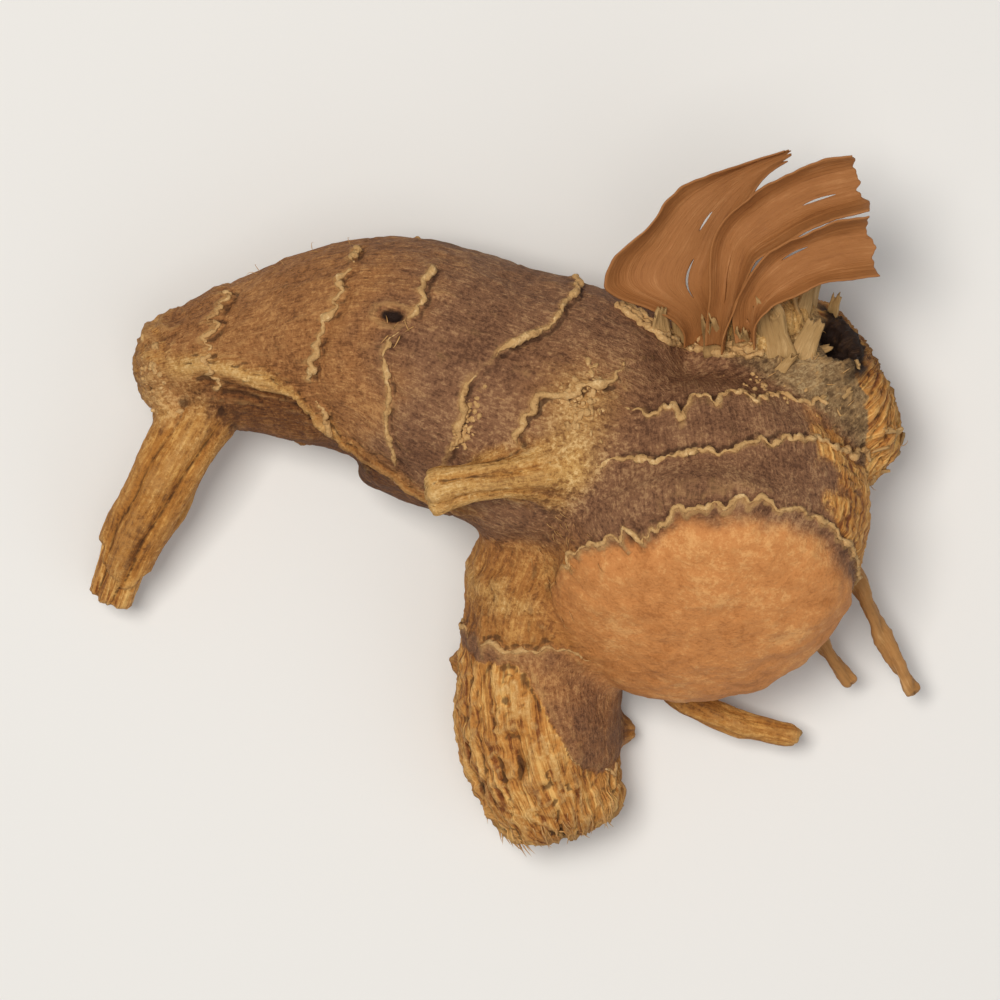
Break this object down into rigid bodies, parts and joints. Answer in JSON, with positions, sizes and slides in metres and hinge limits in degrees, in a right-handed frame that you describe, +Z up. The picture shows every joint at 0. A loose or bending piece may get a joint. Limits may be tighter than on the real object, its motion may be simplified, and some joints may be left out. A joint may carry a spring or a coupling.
{
  "type": "dried galangal root",
  "caption": "Dried galangal rhizome lying down: a tapering arm, a thick knob with a bare domed end, a short branch, stub roots, and torn leaf sheaths at the old stem base.",
  "frame": {"origin": "on the surface it lies on, under the middle of its outline", "axes": "+Z up; +X from the thin tip of the arm towards the knob; +Y from the knob's bare dome towards the old stem base"},
  "size_m": [0.0644, 0.0528, 0.0245],
  "materials": {
    "bark": "matte",
    "scar_lip": "matte",
    "bare_flesh": "matte",
    "root_cork": "matte",
    "sheath": "satin"
  },
  "bodies": {
    "root": {"rhizome": "bark", "sheath_left": "sheath", "sheath_upper": "sheath", "sheath_lower": "sheath"}
  },
  "joints": []
}
